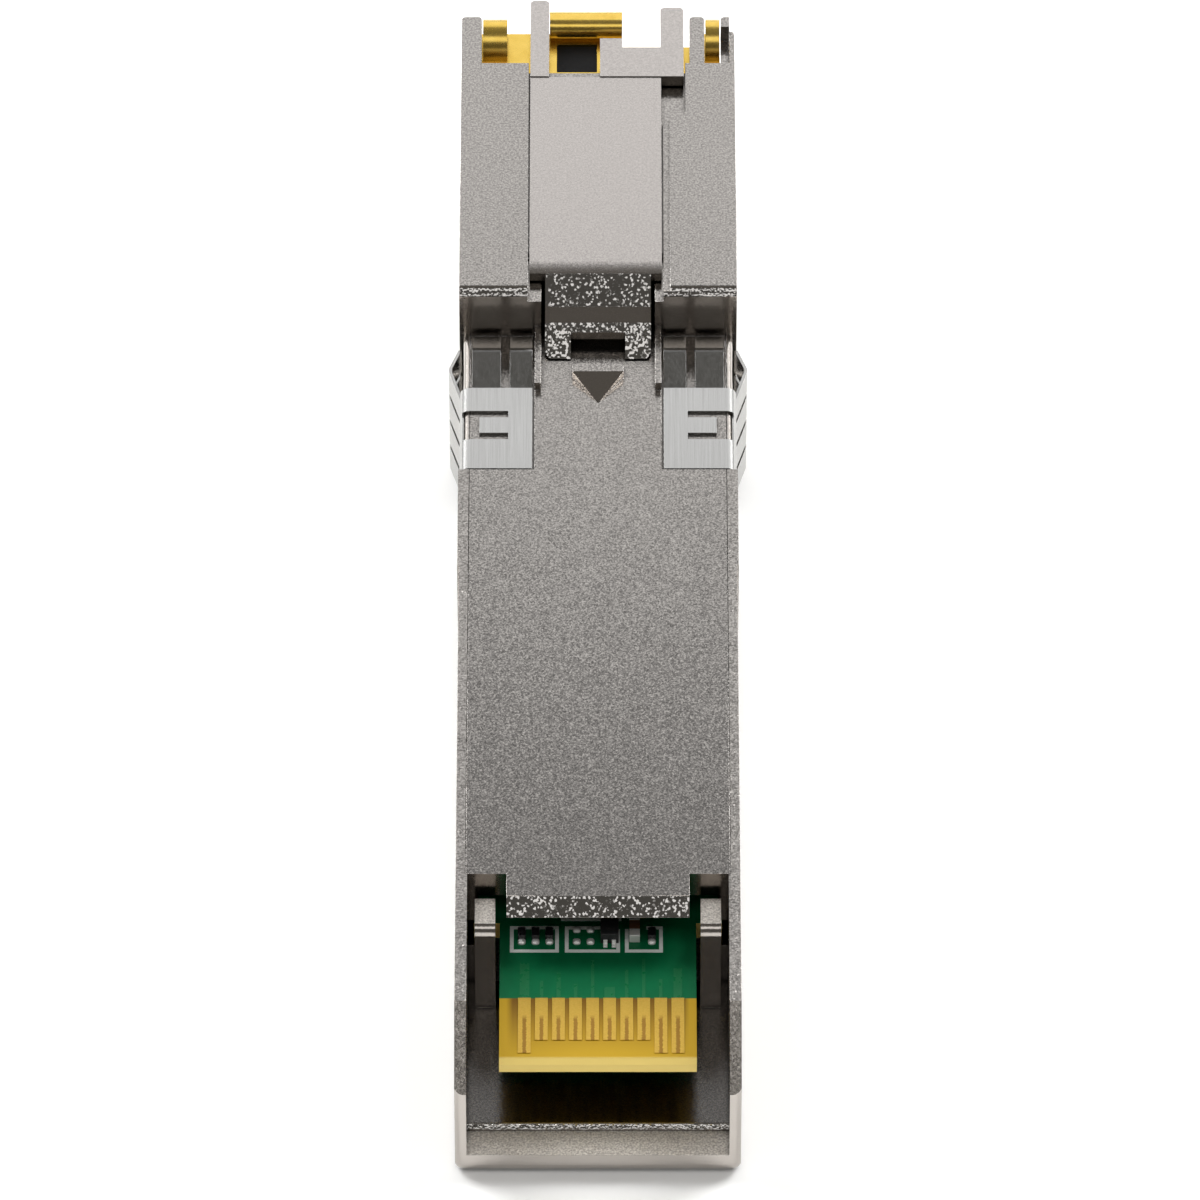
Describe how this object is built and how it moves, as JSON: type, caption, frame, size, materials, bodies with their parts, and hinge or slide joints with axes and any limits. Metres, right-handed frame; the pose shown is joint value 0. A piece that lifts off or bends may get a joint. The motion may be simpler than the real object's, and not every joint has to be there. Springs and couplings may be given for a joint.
{
  "type": "sfp transceiver",
  "caption": "Plug-in network module: slim cast metal housing with an edge connector at the rear, a spring clip, a jack port in the nose and a sliding latch.",
  "frame": {"origin": "middle of the label face, under the middle of the whole length", "axes": "+X across the module, +Y from the edge connector to the nose, +Z from the label face to the latch side"},
  "size_m": [0.0146, 0.0676, 0.0115],
  "materials": {
    "nickel_plated_zinc": "satin nickel plate on a fine-grained zinc casting",
    "spring_steel": "smooth rolled sheet",
    "gold_plate": "bright gold plate",
    "green_board": "green solder mask on glass laminate",
    "black_moulding": "matt black moulding",
    "dark_ferrite": "sintered ferrite",
    "tinned_copper": "tin plate",
    "ceramic": "fired ceramic",
    "soft_pad": "silicone gap pad"
  },
  "bodies": {
    "module": {"housing_shell": "nickel_plated_zinc", "housing_cover": "nickel_plated_zinc", "slider_spring": "spring_steel", "emi_clip": "spring_steel", "edge_contacts_latch_side": "gold_plate", "edge_contacts_label_side": "gold_plate", "jack_shield": "gold_plate", "jack_contacts": "gold_plate", "circuit_board": "green_board", "jack_housing": "black_moulding", "magnetics_module": "black_moulding", "transceiver_chip": "black_moulding", "memory_chip": "black_moulding", "regulator_chip": "black_moulding", "signal_chip": "black_moulding", "power_inductor": "dark_ferrite", "signal_chip_leads": "tinned_copper", "capacitor_terminals": "tinned_copper", "footprint_pads": "tinned_copper", "clock_crystal": "tinned_copper", "filter_capacitor": "ceramic", "chip_capacitors": "ceramic", "chip_resistors": "ceramic", "end_resistors": "ceramic", "heat_pad": "soft_pad"},
    "slide": {"latch_slider": "nickel_plated_zinc"}
  },
  "joints": [
    {"name": "latch_slide", "type": "slide", "parent": "module", "child": "slide", "axis": [0, -1, 0], "range_m": [0, 0.0024], "stiffness_N_per_m": 300, "springref_m": -0.003, "deforming": ["slider_spring"]}
  ]
}
